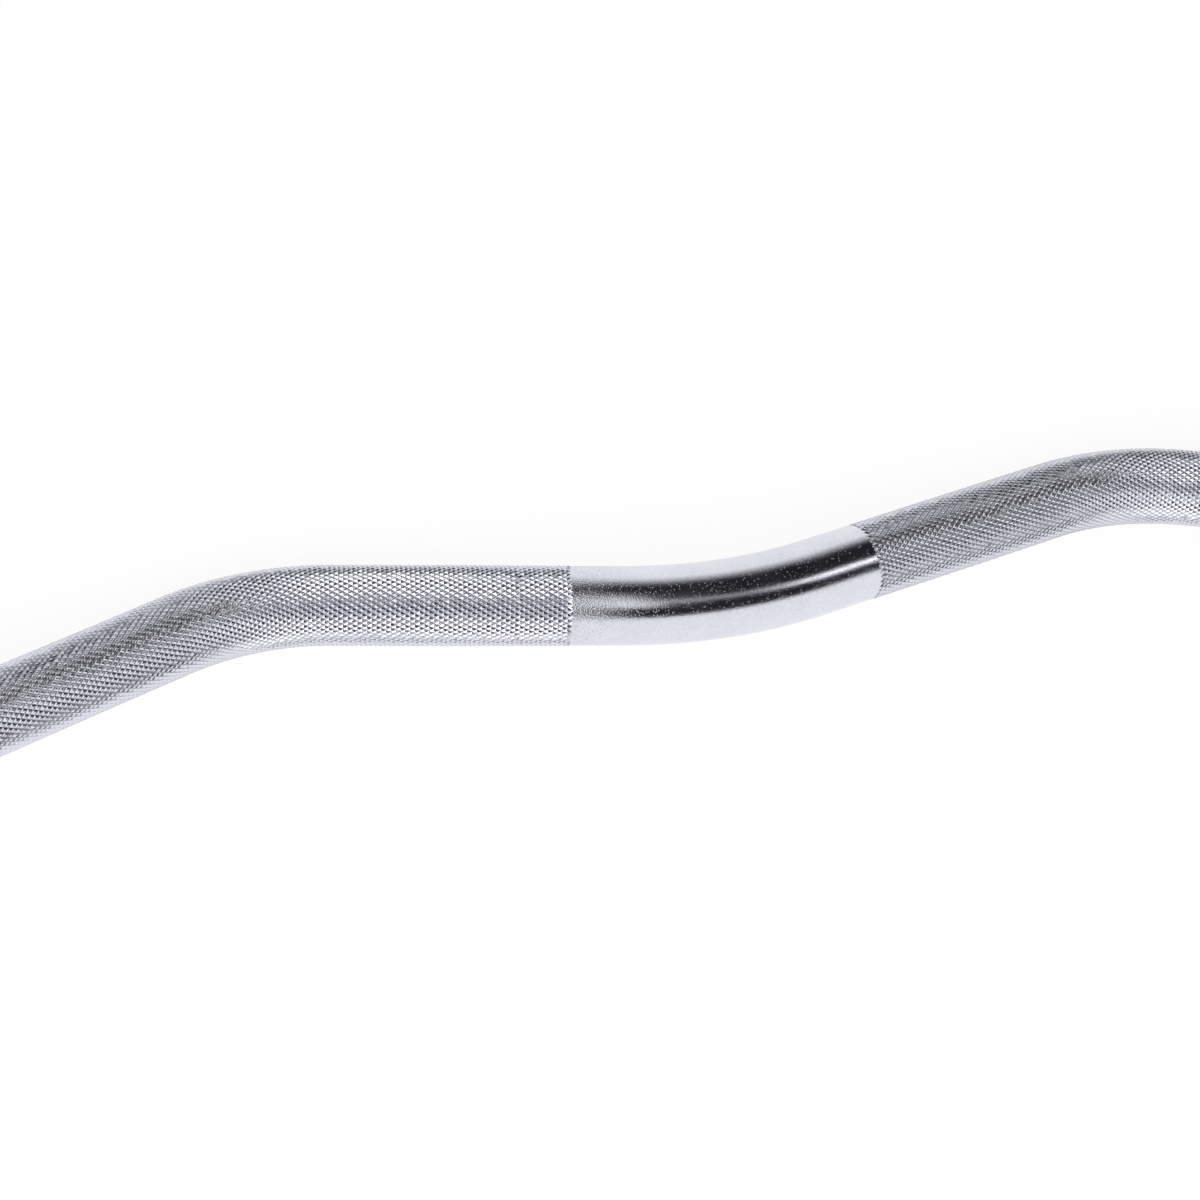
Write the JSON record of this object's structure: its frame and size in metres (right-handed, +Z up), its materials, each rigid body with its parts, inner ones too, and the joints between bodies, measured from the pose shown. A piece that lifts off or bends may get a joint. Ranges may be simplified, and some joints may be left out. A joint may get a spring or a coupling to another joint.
{
  "type": "ez curl bar",
  "caption": "Chromed curl bar with a W-bent shaft, diamond-knurled grips around a smooth centre, and revolving plate sleeves with stop collars at its ends.",
  "frame": {"origin": "on the floor under the middle of the bar, below the axis of the sleeves", "axes": "+X along the sleeves to the right, +Y towards the side on which the shaft's peaks lie, +Z up from the floor"},
  "size_m": [1.2, 0.0807, 0.076],
  "materials": {
    "shaft_chrome": "satin-bright chrome plate, diamond knurl on the grips",
    "sleeve_chrome": "bright chrome plate over turned steel",
    "washer_steel": "zinc-plated, lightly brushed",
    "ring_steel": "black phosphated spring steel",
    "bush_bronze": "turned oil-soaked bronze",
    "seal_rubber": "matt black nitrile rubber",
    "cap_plastic": "fine-grained black moulded plastic"
  },
  "bodies": {
    "shaft": {"bar_shaft": "shaft_chrome", "left_inner_washer": "washer_steel", "left_outer_washer": "washer_steel", "left_snap_ring": "ring_steel", "right_inner_washer": "washer_steel", "right_outer_washer": "washer_steel", "right_snap_ring": "ring_steel"},
    "left_sleeve_unit": {"left_sleeve": "sleeve_chrome", "left_collar": "sleeve_chrome", "left_dust_seal": "seal_rubber", "left_inner_bush": "bush_bronze", "left_outer_bush": "bush_bronze", "left_end_cap": "cap_plastic", "left_cap_ring": "ring_steel"},
    "right_sleeve_unit": {"right_sleeve": "sleeve_chrome", "right_collar": "sleeve_chrome", "right_dust_seal": "seal_rubber", "right_inner_bush": "bush_bronze", "right_outer_bush": "bush_bronze", "right_end_cap": "cap_plastic", "right_cap_ring": "ring_steel"}
  },
  "joints": [
    {"name": "left_sleeve_spin", "type": "hinge", "parent": "shaft", "child": "left_sleeve_unit", "pos_m": [-0.5, 0, 0.038], "axis": [1, 0, 0], "continuous": true},
    {"name": "right_sleeve_spin", "type": "hinge", "parent": "shaft", "child": "right_sleeve_unit", "pos_m": [0.5, 0, 0.038], "axis": [1, 0, 0], "continuous": true}
  ]
}
